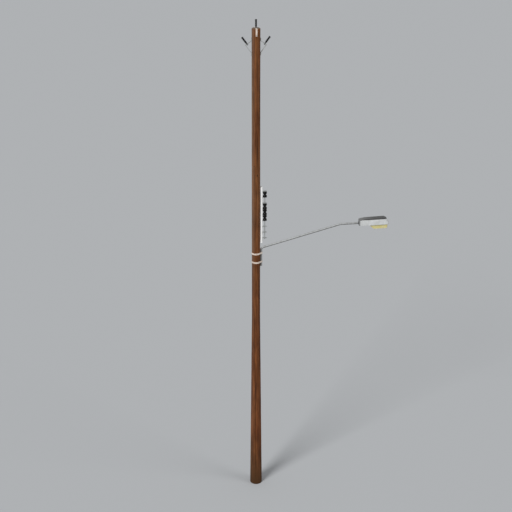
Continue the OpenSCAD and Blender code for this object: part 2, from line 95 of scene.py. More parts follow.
def addNode(tree, kind, inputs=None, settings=None, stops=None, out=0):
    # adds a shader node with its inputs, settings and a ramp's stops, and returns the output that is used
    node = tree.nodes.new("ShaderNode" + kind)
    for name, value in (settings or {}).items():
        setattr(node, name, value)
    setInputs(tree, node, inputs or {})
    for i, (place, code) in enumerate(stops or []):
        element = node.color_ramp.elements[i] if i < 2 else node.color_ramp.elements.new(place)
        element.position = place
        element.color = toLinear(code)
    return node.outputs[out]


# settings that many nodes share; a colour mix has its share at 0, its colours at 6 and 7, its result at 2
blend = {"data_type": "RGBA"}
multiply = {"data_type": "RGBA", "blend_type": "MULTIPLY"}
smooth = {"interpolation_type": "SMOOTHSTEP"}
times = {"operation": "MULTIPLY"}


def newMaterial(name):
    # a material with its node tree, its shader and the place on the piece, which its patterns read
    material = bpy.data.materials.new(name)
    material.use_nodes = True
    tree = material.node_tree
    return material, tree, tree.nodes["Principled BSDF"], addNode(tree, "TexCoord", out="Object")


def per(size):
    # a pattern's scale from its real size in mm
    return 1 / (size * mm)


def clouds(tree, coord, size, detail, rough=0.5):
    # soft patches of one real size in mm, or of one for each axis
    sizes = size if isinstance(size, tuple) else (size, size, size)
    drawn = addNode(tree, "Mapping", {"Vector": coord, "Scale": [per(s) for s in sizes]})
    return addNode(tree, "TexNoise", {
        "Vector": drawn, "Scale": 1, "Detail": detail, "Roughness": rough})


def deselectAll():
    if bpy.context.object and bpy.context.object.mode != "OBJECT":
        bpy.ops.object.mode_set(mode="OBJECT")
    bpy.ops.object.select_all(action="DESELECT")


# the camera stands before the arm, a little to the left, and looks down; lens in mm, places in metres
cameraSet = {"lens": 85, "sensor": 36, "back": 22.63, "height": 16.09, "down": 24.88, "side": 7.5,
             "sees": 600}


def makeCamera(spec):
    data = bpy.data.cameras.new("camera")
    data.lens = spec["lens"]
    data.sensor_width = spec["sensor"]
    data.clip_end = spec["sees"]
    camera = bpy.data.objects.new("camera", data)
    scene.collection.objects.link(camera)
    side = math.radians(spec["side"])
    camera.location = (-spec["back"] * math.sin(side), -spec["back"] * math.cos(side), spec["height"])
    camera.rotation_euler = (math.radians(90 - spec["down"]), 0, -side)
    scene.camera = camera


# tilt is a lamp's angle from straight down, turn is where it stands, from the camera's side to the right;
# the floor's reach is in metres, how far below the pole's foot it lies in mm
stageSet = {"floor": "#b4b6b8", "reach": 400, "sides": 96, "below": 1, "world": "#eceef0", "worldPower": 0.42,
            "lamps": {"key": {"tilt": 52, "turn": -45, "power": 2.4, "soft": 20},
                      "fill": {"tilt": 62, "turn": 58, "power": 0.75, "soft": 30}}}


def makeStage(spec):
    deselectAll()
    bpy.ops.mesh.primitive_circle_add(vertices=spec["sides"], radius=spec["reach"], fill_type="NGON")
    floor = bpy.context.object
    floor.name = "floor"
    floor.location.z = -spec["below"] * mm
    material = bpy.data.materials.new("matt grey backdrop paper")
    material.use_nodes = True
    setInputs(material.node_tree, material.node_tree.nodes["Principled BSDF"], {
        "Base Color": toLinear(spec["floor"]), "Roughness": 0.95, "Specular IOR Level": 0.1})
    floor.data.materials.append(material)
    for name, lampSpec in spec["lamps"].items():
        lamp = bpy.data.lights.new(name, "SUN")
        lamp.energy = lampSpec["power"]
        lamp.angle = math.radians(lampSpec["soft"])
        holder = bpy.data.objects.new(name, lamp)
        scene.collection.objects.link(holder)
        holder.rotation_euler = (math.radians(lampSpec["tilt"]), 0, math.radians(lampSpec["turn"]))
    world = bpy.data.worlds.new("studio")
    world.use_nodes = True
    scene.world = world
    setInputs(world.node_tree, world.node_tree.nodes["Background"],
              {"Color": toLinear(spec["world"]), "Strength": spec["worldPower"]})
    scene.view_settings.view_transform = "Standard"


makeCamera(cameraSet)
makeStage(stageSet)
print("stage: camera, floor and lamps")

# treated pine, peeled and weathered: long streaks of reddish and brown wood, with a painted highlight that
# makes the side away from the lamp arm paler and greyer, with knots, and growth rings on the sawn ends; sizes
# in mm
pineSet = {"streak": (18, 1100), "fibre": (4, 190), "patch": (110, 1700), "blotch": (100, 480),
           "knotGap": 210, "knotWide": 17, "ring": 5, "ringCoarse": 6, "damp": 1400, "brownTo": (4300, 6400)}


def makePine(spec):
    material, tree, shader, coord = newMaterial("weathered treated pine")
    normal = addNode(tree, "NewGeometry", out="Normal")
    height = addNode(tree, "SeparateXYZ", {"Vector": coord}, out="Z")

    def grain(name, detail, rough):
        wide, long = spec[name]
        return clouds(tree, coord, (wide, wide, long), detail, rough)

    fibre = grain("fibre", 3, 0.6)
    streak = addNode(tree, "ValToRGB", {"Fac": grain("streak", 4, 0.6)}, stops=[
        (0.28, "#523519"), (0.74, "#ae7c55"), (0.42, "#784e29"), (0.52, "#8a5c35"), (0.62, "#9a6a43")])
    patch = addNode(tree, "ValToRGB", {"Fac": grain("patch", 3, 0.55)}, stops=[
        (0.32, "#f6efe8"), (0.68, "#dcc0aa"), (0.5, "#f0e2d4")])
    wood = addNode(tree, "Mix", {0: 1.0, 6: streak, 7: patch}, multiply, out=2)
    # blotches a hand or two long, where the weather took the treatment off unevenly
    blotch = addNode(tree, "ValToRGB", {"Fac": grain("blotch", 4, 0.6)}, stops=[
        (0.38, "#cdc7c2"), (0.62, "#ffffff"), (0.5, "#e6e3e0")])
    wood = addNode(tree, "Mix", {0: 1.0, 6: wood, 7: blotch}, multiply, out=2)
    # the lower half keeps more of its brown treatment
    brownAll, brownEnd = spec["brownTo"]
    lower = addNode(tree, "MapRange", {
        "Value": height, "From Min": brownEnd * mm, "From Max": brownAll * mm}, smooth)
    wood = addNode(tree, "Mix", {0: lower, 6: wood, 7: toLinear("#eedfd0")}, multiply, out=2)
    # painted highlight: the side that faces away from the lamp arm, towards the key light, is mixed towards
    # pale grey-brown, most of all high up
    away = addNode(tree, "SeparateXYZ", {"Vector": normal}, out="X")
    side = addNode(tree, "MapRange", {"Value": away, "From Min": -0.3, "From Max": -1.0})
    high = addNode(tree, "MapRange", {"Value": lower, "To Min": 0.8, "To Max": 0.3})
    strength = addNode(tree, "Math", {0: fibre, 1: high}, times)
    grey = addNode(tree, "Math", {0: side, 1: strength}, times)
    wood = addNode(tree, "Mix", {0: grey, 6: wood, 7: toLinear("#8f7a67")}, blend, out=2)
    thread = addNode(tree, "ValToRGB", {"Fac": fibre}, stops=[(0.36, "#9a9490"), (0.58, "#ffffff")])
    wood = addNode(tree, "Mix", {0: 0.55, 6: wood, 7: thread}, multiply, out=2)
    # knots: dark oval spots where a branch was
    lifted = addNode(tree, "Mapping", {"Vector": coord, "Scale": (1, 1, 0.6)})
    cells = addNode(tree, "TexVoronoi", {"Vector": lifted, "Scale": per(spec["knotGap"])})
    knotEdge = spec["knotWide"] / spec["knotGap"]
    knot = addNode(tree, "MapRange", {
        "Value": cells, "From Min": knotEdge, "From Max": knotEdge * 0.5}, smooth)
    wood = addNode(tree, "Mix", {0: knot, 6: wood, 7: toLinear("#38200f")}, blend, out=2)
    # the foot stays damp and dark
    damp = addNode(tree, "MapRange", {
        "Value": height, "From Min": 0, "From Max": spec["damp"] * mm, "To Min": 0.9, "To Max": 0})
    wood = addNode(tree, "Mix", {0: damp, 6: wood, 7: toLinear("#40290f")}, blend, out=2)
    # growth rings on the sawn ends, drawn six times as wide as real ones so that they show;
    # a wave texture repeats every pi / 10 over its scale
    rings = addNode(tree, "TexWave", {
        "Vector": coord, "Scale": math.pi / 10 * per(spec["ring"] * spec["ringCoarse"]), "Distortion": 1.2,
        "Detail": 2, "Detail Scale": 1.5}, {"wave_type": "RINGS", "rings_direction": "Z"}, out="Fac")
    endGrain = addNode(tree, "ValToRGB", {"Fac": rings}, stops=[(0.2, "#5c4b3c"), (0.8, "#857360")])
    level = addNode(tree, "Math", {
        0: addNode(tree, "SeparateXYZ", {"Vector": normal}, out="Z")}, {"operation": "ABSOLUTE"})
    sawn = addNode(tree, "Math", {0: level, 1: 0.9}, {"operation": "GREATER_THAN"})
    wood = addNode(tree, "Mix", {0: sawn, 6: wood, 7: endGrain}, blend, out=2)
    rough = addNode(tree, "MapRange", {"Value": fibre, "To Min": 0.95, "To Max": 0.7})
    bump = addNode(tree, "Bump", {"Height": fibre, "Strength": 0.7, "Distance": 3 * mm})
    setInputs(tree, shader, {
        "Base Color": wood, "Roughness": rough, "Normal": bump, "Specular IOR Level": 0.25})
    return material


# hot-dip zinc: spangle cells that differ a little in tone and gloss, dulled in patches; sizes in mm
zincSets = {
    "dull galvanised steel": {"light": "#a9acaa", "dark": "#929593", "spangle": 9, "rough": 0.5,
                              "metal": 0.3},
    # the pipe's under tone is painted shade for its downward faces
    "galvanised pipe": {"light": "#b4b6b6", "dark": "#a0a2a3", "spangle": 10, "rough": 0.48, "metal": 0.25,
                        "under": "#8a8885"},
    "galvanised strip": {"light": "#b6b8b6", "dark": "#a0a2a0", "spangle": 9, "rough": 0.45, "metal": 0.25},
    "dark weathered zinc": {"light": "#5d5f60", "dark": "#47494a", "spangle": 8, "rough": 0.6, "metal": 0.3},
    "pale galvanised strap, rust-tinged": {"light": "#eee2d7", "dark": "#e0d1c4", "spangle": 12, "rough": 0.5,
                                           "metal": 0.1, "rust": "#a8714e"}}
zincWear = {"patch": 55, "bloom": 28}


def makeZinc(name, spec):
    material, tree, shader, coord = newMaterial(name)
    cells = addNode(tree, "TexVoronoi", {"Vector": coord, "Scale": per(spec["spangle"])}, out="Color")
    tone = addNode(tree, "ValToRGB", {"Fac": cells}, stops=[(0.1, spec["dark"]), (0.9, spec["light"])])
    stain = clouds(tree, coord, zincWear["patch"], 5, 0.6)
    dull = addNode(tree, "ValToRGB", {"Fac": stain}, stops=[(0.34, "#bdb8b0"), (0.56, "#ffffff")])
    skin = addNode(tree, "Mix", {0: 0.5, 6: tone, 7: dull}, multiply, out=2)
    if "rust" in spec:
        # a bloom of rust where the zinc is thin
        bloom = clouds(tree, coord, zincWear["bloom"], 7, 0.7)
        thin = addNode(tree, "MapRange", {
            "Value": bloom, "From Min": 0.46, "From Max": 0.7, "To Max": 0.75}, smooth)
        skin = addNode(tree, "Mix", {0: thin, 6: skin, 7: toLinear(spec["rust"])}, blend, out=2)
    if "under" in spec:
        # painted shade: the faces that look down, away from the light above, are darkened by the under tone
        normal = addNode(tree, "NewGeometry", out="Normal")
        upward = addNode(tree, "SeparateXYZ", {"Vector": normal}, out="Z")
        paintedUnderShade = addNode(tree, "MapRange", {"Value": upward, "From Min": 0.25, "From Max": -0.4})
        skin = addNode(tree, "Mix", {0: paintedUnderShade, 6: skin, 7: toLinear(spec["under"])}, multiply, out=2)
    gloss = addNode(tree, "MapRange", {
        "Value": cells, "To Min": spec["rough"] - 0.08, "To Max": spec["rough"] + 0.1})
    pit = addNode(tree, "Bump", {"Height": stain, "Strength": 0.15, "Distance": 1 * mm})
    setInputs(tree, shader, {
        "Base Color": skin, "Roughness": gloss, "Normal": pit, "Metallic": spec["metal"]})
    return material


# bolts lose their zinc first: rust comes through in spots; sizes in mm
rustSet = {"spot": 9, "zinc": "#c8c9c7", "rust": "#80563a"}


def makeRusty(spec):
    material, tree, shader, coord = newMaterial("rusting galvanised bolt steel")
    spots = clouds(tree, coord, spec["spot"], 6, 0.7)
    rust = addNode(tree, "MapRange", {"Value": spots, "From Min": 0.56, "From Max": 0.7}, smooth)
    tone = addNode(tree, "Mix", {0: rust, 6: toLinear(spec["zinc"]), 7: toLinear(spec["rust"])}, blend, out=2)
    metal = addNode(tree, "MapRange", {"Value": rust, "To Min": 0.4, "To Max": 0.0})
    rough = addNode(tree, "MapRange", {"Value": rust, "To Min": 0.5, "To Max": 0.9})
    bump = addNode(tree, "Bump", {"Height": spots, "Strength": 0.3, "Distance": 1 * mm})
    setInputs(tree, shader, {"Base Color": tone, "Metallic": metal, "Roughness": rough, "Normal": bump})
    return material


# brushed-on gloss paint over steel: chalky, with thin grime runs down it and a few chips; sizes in mm
paintSet = {"run": (14, 14, 260), "chip": 22, "bare": "#8d7a69"}


def makeRackPaint(spec):
    material, tree, shader, coord = newMaterial("chalking white paint on steel")
    runs = clouds(tree, coord, spec["run"], 4)
    tone = addNode(tree, "ValToRGB", {"Fac": runs}, stops=[
        (0.3, "#dcd8d2"), (0.6, "#f5f4f3"), (0.46, "#eeedeb")])
    chips = clouds(tree, coord, spec["chip"], 6, 0.7)
    bare = addNode(tree, "MapRange", {"Value": chips, "From Min": 0.66, "From Max": 0.72}, smooth)
    mixed = addNode(tree, "Mix", {0: bare, 6: tone, 7: toLinear(spec["bare"])}, blend, out=2)
    bump = addNode(tree, "Bump", {"Height": runs, "Strength": 0.1, "Distance": 0.5 * mm})
    setInputs(tree, shader, {"Base Color": mixed, "Normal": bump, "Roughness": 0.45})
    return material


def orangePeel(tree, coord, size):
    # the fine dimples of sprayed powder
    peel = clouds(tree, coord, size, 2)
    return addNode(tree, "Bump", {"Height": peel, "Strength": 0.12, "Distance": 0.4 * mm})


# finishes with one soft pattern: its size in mm, its detail and tones, and what the shader gets beside them;
# a range of roughness and a bump follow the pattern
powder = {"size": (70, 70, 140), "detail": 6, "harsh": 0.6, "peel": 3}
cloudSets = {
    # thrown, dipped and fired: a wet-looking dark skin over a slightly uneven body
    "black glazed porcelain": {
        "size": 26, "detail": 3, "tones": [(0.35, "#080808"), (0.7, "#141313")], "rough": (0.12, 0.26),
        "bump": 0.1, "shader": {"Specular IOR Level": 0.2}},
    # sprayed powder on cast metal: fine orange peel, with soot gathered in clouds
    "light grey powder coat on cast aluminium": {
        **powder, "tones": [(0.3, "#b4b5b3"), (0.62, "#cdcfcf")], "shader": {"Roughness": 0.45}},
    "mid grey powder coat on cast aluminium": {
        **powder, "tones": [(0.3, "#6b6b6a"), (0.62, "#838484")], "shader": {"Roughness": 0.5}},
    # blown and frosted: pale, and light glows through it
    "frosted bulb glass": {
        "size": 25, "detail": 4, "tones": [(0.35, "#e4e0d6"), (0.65, "#f1efe8")],
        "shader": {"Roughness": 0.4, "Transmission Weight": 0.5}},
    # pressed and fired: pale and dull
    "unglazed white ceramic": {
        "size": 25, "detail": 4, "tones": [(0.35, "#d9d2c4"), (0.65, "#ebe6dc")],
        "shader": {"Roughness": 0.7}},
    # rolled and anodised: fine lines along the lamp under a clear skin, so it mirrors softly
    "bright anodised aluminium": {
        "size": (90, 2, 2), "detail": 3, "tones": [(0.3, "#d6d7d5"), (0.7, "#e8e8e5")], "rough": (0.2, 0.38),
        "shader": {"Metallic": 0.9}},
    # moulded and black, gone dusty in specks
    "dusty moulded rubber": {
        "size": 12, "detail": 5, "tones": [(0.4, "#1d1d1d"), (0.75, "#4b4844")],
        "shader": {"Roughness": 0.8}}}


def makeCloudy(name, spec):
    material, tree, shader, coord = newMaterial(name)
    cloud = clouds(tree, coord, spec["size"], spec["detail"], spec.get("harsh", 0.5))
    inputs = {"Base Color": addNode(tree, "ValToRGB", {"Fac": cloud}, stops=spec["tones"])}
    if "rough" in spec:
        low, high = spec["rough"]
        inputs["Roughness"] = addNode(tree, "MapRange", {
            "Value": cloud, "To Min": low, "To Max": high})
    if "bump" in spec:
        inputs["Normal"] = addNode(tree, "Bump", {
            "Height": cloud, "Strength": spec["bump"], "Distance": 1 * mm})
    if "peel" in spec:
        inputs["Normal"] = orangePeel(tree, coord, spec["peel"])
    setInputs(tree, shader, {**inputs, **spec["shader"]})
    return material


# powder coat on the lamp's dark cover, uneven in clouds, with a painted highlight in pale grey on what faces
# straight up, strongest towards the pole; sizes in mm, the highlight's from the lamp's tail
coverTopSheenSet = {"cloud": 80, "peel": 3, "thick": 60, "thin": 320, "paintedTopSheen": "#787877"}


def makeCoverCoat(spec):
    material, tree, shader, coord = newMaterial("dark grey powder coat, top painted paler")
    cloud = clouds(tree, coord, spec["cloud"], 6, 0.6)
    paint = addNode(tree, "ValToRGB", {"Fac": cloud}, stops=[(0.3, "#333333"), (0.65, "#434343")])
    # painted highlight: faces that look straight up, most near the tail, are mixed towards pale grey as if
    # lit from above
    normal = addNode(tree, "NewGeometry", out="Normal")
    upward = addNode(tree, "SeparateXYZ", {"Vector": normal}, out="Z")
    flat = addNode(tree, "MapRange", {"Value": upward, "From Min": 0.86, "From Max": 0.97}, smooth)
    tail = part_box("lamp_housing")[0][0]
    along = addNode(tree, "MapRange", {
        "Value": addNode(tree, "SeparateXYZ", {"Vector": coord}, out="X"),
        "From Min": tail + spec["thick"] * mm, "From Max": tail + spec["thin"] * mm,
        "To Min": 0.85, "To Max": 0.3})
    paintedTopSheen = addNode(tree, "Math", {0: flat, 1: along}, times)
    mixed = addNode(tree, "Mix", {0: paintedTopSheen, 6: paint, 7: toLinear(spec["paintedTopSheen"])}, blend, out=2)
    peel = orangePeel(tree, coord, spec["peel"])
    setInputs(tree, shader, {"Base Color": mixed, "Normal": peel, "Roughness": 0.6})
    return material


# pressed prismatic glass, yellowed: light goes through it, but its prisms scatter it; the rounded edge round
# its floor and the slope towards the pole are thicker and look frosted; sizes in mm, the edge by height
glassSet = {"cloud": 70, "edge": (10, 24), "frost": "#f2ece0"}


def makeLensGlass(spec):
    material, tree, shader, coord = newMaterial("yellowed prismatic glass")
    cloud = clouds(tree, coord, spec["cloud"], 4)
    tone = addNode(tree, "ValToRGB", {"Fac": cloud}, stops=[(0.3, "#e6d98c"), (0.7, "#f1e8b2")])
    # the height over the floor, which rises with the lamp's tilt
    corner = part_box("lens")[0]
    rise = math.tan(lampTilt)
    climb = addNode(tree, "Math", {
        0: addNode(tree, "SeparateXYZ", {"Vector": coord}, out="X"), 1: -rise,
        2: corner[0] * rise - corner[2]}, {"operation": "MULTIPLY_ADD"})
    height = addNode(tree, "Math", {
        0: addNode(tree, "SeparateXYZ", {"Vector": coord}, out="Z"), 1: climb}, {"operation": "ADD"})
    edgeLow, edgeHigh = spec["edge"]
    edge = addNode(tree, "MapRange", {
        "Value": height, "From Min": edgeHigh * mm, "From Max": edgeLow * mm, "To Max": 0.8}, smooth)
    normal = addNode(tree, "NewGeometry", out="Normal")
    slope = addNode(tree, "MapRange", {
        "Value": addNode(tree, "SeparateXYZ", {"Vector": normal}, out="X"),
        "From Min": -0.3, "From Max": -0.6, "To Max": 0.7}, smooth)
    frost = addNode(tree, "Math", {0: edge, 1: slope}, {"operation": "MAXIMUM"})
    mixed = addNode(tree, "Mix", {0: frost, 6: tone, 7: toLinear(spec["frost"])}, blend, out=2)
    rough = addNode(tree, "MapRange", {"Value": cloud, "To Min": 0.15, "To Max": 0.35})
    setInputs(tree, shader, {
        "Base Color": mixed, "Roughness": rough, "Transmission Weight": 0.22, "IOR": 1.5})
    return material


pine = makePine(pineSet)
dullZinc, pipeZinc, stripZinc, darkZinc, paleZinc = (makeZinc(name, spec) for name, spec in zincSets.items())
rusty = makeRusty(rustSet)
rackPaint = makeRackPaint(paintSet)
glaze, casting, capCoat, bulbGlass, ceramic, anodised, rubber = (
    makeCloudy(name, spec) for name, spec in cloudSets.items())
coverCoat = makeCoverCoat(coverTopSheenSet)
lensGlass = makeLensGlass(glassSet)
finishes = {"pole_wood": pine, "pale_steel": paleZinc, "rack_paint": rackPaint, "galvanised_steel": dullZinc,
            "arm_steel": pipeZinc, "black_glaze": glaze, "lamp_casting": casting, "reflector_metal": anodised,
            "socket_ceramic": ceramic, "bulb_glass": bulbGlass, "lens_glass": lensGlass}
slotOf = {row["node"]: row["material_slot"] for row in frame["record"]["subparts"]}
ownZinc = {"left_bracket": stripZinc, "right_bracket": stripZinc, "left_pin": darkZinc, "right_pin": darkZinc,
           "top_pin": darkZinc}
for node, slot in slotOf.items():
    nodes[node].data.materials.clear()
    nodes[node].data.materials.append(ownZinc.get(node, finishes[slot]))
print("finishes: %d materials" % len(bpy.data.materials))

# what counts as one point, here and in the CAD's meshes, and as a sliver, in mm; flat and smooth in degrees
meshSet = {"merge": 0.02, "cadMerge": 0.01, "sliver": 0.003, "flat": 0.5, "smooth": 35}


def makeActive(piece):
    deselectAll()
    bpy.context.view_layer.objects.active = piece
    piece.select_set(True)


def setMode(mode):
    bpy.ops.object.mode_set(mode=mode)


def selectAll():
    bpy.ops.mesh.select_all(action="SELECT")


def putInMesh():
    bpy.ops.object.transform_apply(location=True, rotation=True, scale=True)


def shadeSmooth(angle):
    bpy.ops.object.shade_smooth_by_angle(angle=math.radians(angle))


def pick(kind, test):
    # selects the points, edges or faces of the open piece whose middle passes the test
    bpy.ops.mesh.select_mode(type=kind)
    bpy.ops.mesh.select_all(action="DESELECT")
    shape = bmesh.from_edit_mesh(bpy.context.object.data)
    for item in {"VERT": shape.verts, "EDGE": shape.edges, "FACE": shape.faces}[kind]:
        points = [item.co] if kind == "VERT" else [v.co for v in item.verts]
        if test(sum(points, Vector()) / len(points), item):
            item.select_set(True)
    shape.select_flush_mode()
    bmesh.update_edit_mesh(bpy.context.object.data)


def extrude(move):
    bpy.ops.mesh.extrude_region_move(TRANSFORM_OT_translate={"value": move})


def widen(x, y, centre=(0, 0, 0)):
    bpy.ops.transform.resize(value=(x, y, 1), center_override=centre)


def turn(profile, sides, bored=False):
    # a round form from (radius, height) points in mm, drawn up ring by ring; a bored one is open at both ends
    radius, height = profile[0]
    bpy.context.tool_settings.mesh_select_mode = (True, False, False)
    bpy.ops.mesh.primitive_circle_add(vertices=sides, radius=radius * mm,
                                      fill_type="NOTHING" if bored else "NGON")
    if bpy.context.object.mode != "EDIT":
        setMode("EDIT")
    bpy.ops.transform.translate(value=(0, 0, height * mm))
    for nextRadius, nextHeight in profile[1:]:
        extrude((0, 0, (nextHeight - height) * mm))
        if nextRadius != radius:
            widen(nextRadius / radius, nextRadius / radius)
        radius, height = nextRadius, nextHeight


def arc(middle, radius, angles):
    # points of a profile on a circle, at angles in degrees
    return [(middle[0] + radius * math.cos(math.radians(a)), middle[1] + radius * math.sin(math.radians(a)))
            for a in angles]


def closeShape(angle=meshSet["smooth"]):
    # merges the seams, turns the faces outwards and puts the place into the mesh
    selectAll()
    bpy.ops.mesh.remove_doubles(threshold=meshSet["merge"] * mm)
    bpy.ops.mesh.normals_make_consistent(inside=False)
    setMode("OBJECT")
    putInMesh()
    shadeSmooth(angle)
    return bpy.context.object


def applyModifier(kind, **settings):
    bpy.ops.object.modifier_add(type=kind)
    modifier = bpy.context.object.modifiers[-1]
    for name, value in settings.items():
        setattr(modifier, name, value)
    bpy.ops.object.modifier_apply(modifier=modifier.name)


def roundEdges(width, segments, angle=30):
    applyModifier("BEVEL", width=width * mm, segments=segments, limit_method="ANGLE",
                  angle_limit=math.radians(angle))
    setMode("EDIT")
    selectAll()
    bpy.ops.mesh.dissolve_degenerate(threshold=meshSet["sliver"] * mm)
    setMode("OBJECT")
    shadeSmooth(meshSet["smooth"])
    # flat faces stay flat, the rounded edges take up the change of direction
    applyModifier("WEIGHTED_NORMAL", weight=50, keep_sharp=True)


def dress(piece, name, material, body, slot, *replaced):
    piece.name = name
    piece.data.name = name
    piece.data.materials.clear()
    piece.data.materials.append(material)
    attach(piece, body)
    if replaced:
        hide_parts(*replaced)


def copyTo(source, where, towards):
    # a copy with its own mesh, its foot at where and its Z axis turned towards a direction
    piece = source.copy()
    piece.data = source.data.copy()
    scene.collection.objects.link(piece)
    makeActive(piece)
    piece.rotation_mode = "QUATERNION"
    piece.rotation_quaternion = Vector(towards).to_track_quat("Z", "Y")
    piece.location = where
    putInMesh()
    return piece


def discard(piece):
    bpy.data.objects.remove(piece, do_unlink=True)


def setCopies(source, rows, material, slot):
    # one dressed copy for each row of name, place and direction; the pattern piece goes
    for name, where, towards in rows:
        dress(copyTo(source, where, towards), name, material, "root", slot)
    discard(source)


def openCopy(node, name):
    # a merged copy of a CAD piece, open in edit mode
    piece = bpy.data.objects.new(name, nodes[node].data.copy())
    scene.collection.objects.link(piece)
    makeActive(piece)
    setMode("EDIT")
    selectAll()
    bpy.ops.mesh.remove_doubles(threshold=meshSet["cadMerge"] * mm)
    return piece


def joinFlats():
    # faces that lie flat together become one
    selectAll()
    bpy.ops.mesh.dissolve_limited(angle_limit=math.radians(meshSet["flat"]))
    setMode("OBJECT")


def onLamp(x, y, z):
    # a place on the lamp, given in mm in its own frame
    base = Vector((lampSet["tail"], y, lampSet["axis"]))
    return (base + lampAhead * x + lampUp * (z - lampSet["entry"])) * mm


def setOnLamp(piece):
    # moves a piece that was modelled in the lamp's frame to its place
    makeActive(piece)
    piece.rotation_euler = (0, -lampTilt, 0)
    piece.location = onLamp(0, 0, 0)
    putInMesh()


# the log: tapered with a swelled butt, wavy as peeled wood is, and split by drying checks; sizes in mm;
# a check is its angle round the pole, its lower and upper ends, its width and its depth
poleSet = {"sides": 72, "butt": 260, "swell": 172, "swellEnd": 4250, "top": 167, "bevel": 7, "ringGap": 110,
           "wave": 2.4, "waveSize": 330, "smooth": 40,
           "checks": [(255, 350, 2150, 6, 17), (285, 1900, 3050, 5, 12), (240, 2500, 4400, 5, 15),
                      (270, 4700, 5300, 4, 10), (295, 5750, 7900, 5, 15), (250, 7300, 8500, 4, 11),
                      (275, 8600, 10050, 5, 14), (215, 600, 1500, 5, 12), (205, 3300, 5250, 5, 14),
                      (190, 5900, 7700, 5, 15), (225, 8100, 9700, 4, 12), (165, 300, 2600, 6, 18),
                      (150, 3000, 4900, 5, 13), (120, 900, 3500, 6, 17), (100, 4000, 5200, 4, 11),
                      (80, 200, 1700, 6, 16), (110, 6000, 8200, 5, 15), (60, 2400, 4700, 5, 13),
                      (70, 7600, 9900, 5, 13), (35, 700, 2900, 6, 16), (15, 3200, 5000, 5, 12),
                      (325, 900, 2300, 5, 14), (335, 3000, 5100, 5, 13), (350, 7700, 9500, 4, 12),
                      (135, 8300, 10000, 5, 13), (320, 7900, 9600, 4, 12)]}


def isAtAngle(point, angle, within=0.4):
    # whether a point stands at an angle round the pole, in degrees
    away = math.degrees(math.atan2(point.y, point.x)) - angle
    return abs((away + 180) % 360 - 180) < within


def makePole(spec):
    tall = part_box("pole_shaft")[1][2] / mm
    buttR, swellR, topR, bevel = spec["butt"] / 2, spec["swell"] / 2, spec["top"] / 2, spec["bevel"]
    gap = spec["ringGap"]
    deselectAll()
    turn([(buttR - bevel, 0), (buttR, bevel), (swellR, spec["swellEnd"]), (topR, tall - bevel),
          (topR - bevel, tall)], spec["sides"])
    for low, high in ((0, spec["swellEnd"]), (spec["swellEnd"], tall)):
        pick("EDGE", lambda middle, edge: low * mm < middle.z < high * mm and edge.calc_length() > 1)
        bpy.ops.mesh.subdivide(number_cuts=int((high - low) / gap))
    step = 360 / spec["sides"]
    for angle, low, high, wide, deep in spec["checks"]:
        angle = round(angle / step) * step
        # the upright edges along the check open, and the middle of the opening sinks in
        pick("EDGE", lambda middle, edge: isAtAngle(middle, angle) and low * mm < middle.z < high * mm
             and abs(edge.verts[0].co.z - edge.verts[1].co.z) > 20 * mm)
        bpy.ops.mesh.bevel(offset=wide / 2 * mm, segments=2, affect="EDGES")
        pick("VERT", lambda middle, point: isAtAngle(middle, angle)
             and (low + gap) * mm < middle.z < (high - gap) * mm)
        widen(1 - deep / topR, 1 - deep / topR)
    closeShape()
    waves = bpy.data.textures.new("waves", "CLOUDS")
    waves.noise_scale = spec["waveSize"] * mm
    applyModifier("DISPLACE", texture=waves, texture_coords="LOCAL", strength=spec["wave"] * mm,
                  mid_level=0.5)
    shadeSmooth(spec["smooth"])
    dress(bpy.context.object, "pole_log", pine, "root", "pole_wood", "pole_shaft")


makePole(poleSet)
print("pole: log with its drying checks")

# bent strips and plates keep their CAD shape; a copy gets the rounded edges that rolling and dipping leave,
# by radius in mm and steps
softSets = {"top_saddle": (1.6, 2), "left_bracket": (1.6, 2), "right_bracket": (1.6, 2),
            "rack_channel": (1.5, 2), "lower_band": (1.4, 2), "upper_band": (1.4, 2),
            "lamp_housing": (2.2, 3), "door_frame": (1.2, 2), "rack_rod": (1.2, 2)}
earCount = 9
softSets.update({"rack_ear_%d" % (i + 1): (1.2, 2) for i in range(earCount)})


def softCopy(node, width, segments):
    piece = openCopy(node, node + "_soft")
    joinFlats()
    roundEdges(width, segments)
    material = nodes[node].data.materials[0]
    dress(piece, node + "_soft", material, body_of(nodes[node])[0], slotOf[node], node)


for node, (width, segments) in softSets.items():
    softCopy(node, width, segments)
print("hardware: %d pieces with rounded edges" % len(softSets))

# bolts: a washer and a hexagon, chamfered from a share of its height to a share of its width; sizes in mm
boltSets = {"lag": {"washer": 32, "plate": 2.5, "across": 22, "high": 9},
            "rack": {"washer": 29, "plate": 2.5, "across": 24, "high": 10},
            "clamp": {"washer": 18, "plate": 1.5, "across": 13, "high": 8}}
washerSet = {"sunk": 1, "edge": 0.6, "sides": 32}
hexagonSet = {"straight": 0.8, "narrow": 0.88, "sunk": 0.5, "smooth": 30}


def makeHexagon(across, foot, high, sunk=0.0):
    corner = across / math.sqrt(3)
    turn([(corner, foot - sunk), (corner, foot + high * hexagonSet["straight"]),
          (corner * hexagonSet["narrow"], foot + high)], 6)


def makeBolt(spec):
    deselectAll()
    half, top, edge = spec["washer"] / 2, spec["plate"], washerSet["edge"]
    turn([(half, -washerSet["sunk"]), (half, top - edge), (half - edge, top)], washerSet["sides"])
    makeHexagon(spec["across"], top, spec["high"], hexagonSet["sunk"])
    return closeShape(hexagonSet["smooth"])


# where the bolts sit, from the CAD pieces that they hold; sizes in mm
seatSet = {"saddleUp": 34, "bracketOut": 90.9, "bracketTop": 28, "bracketFoot": 22, "rackEnd": 46,
           "tail": (34, 84)}


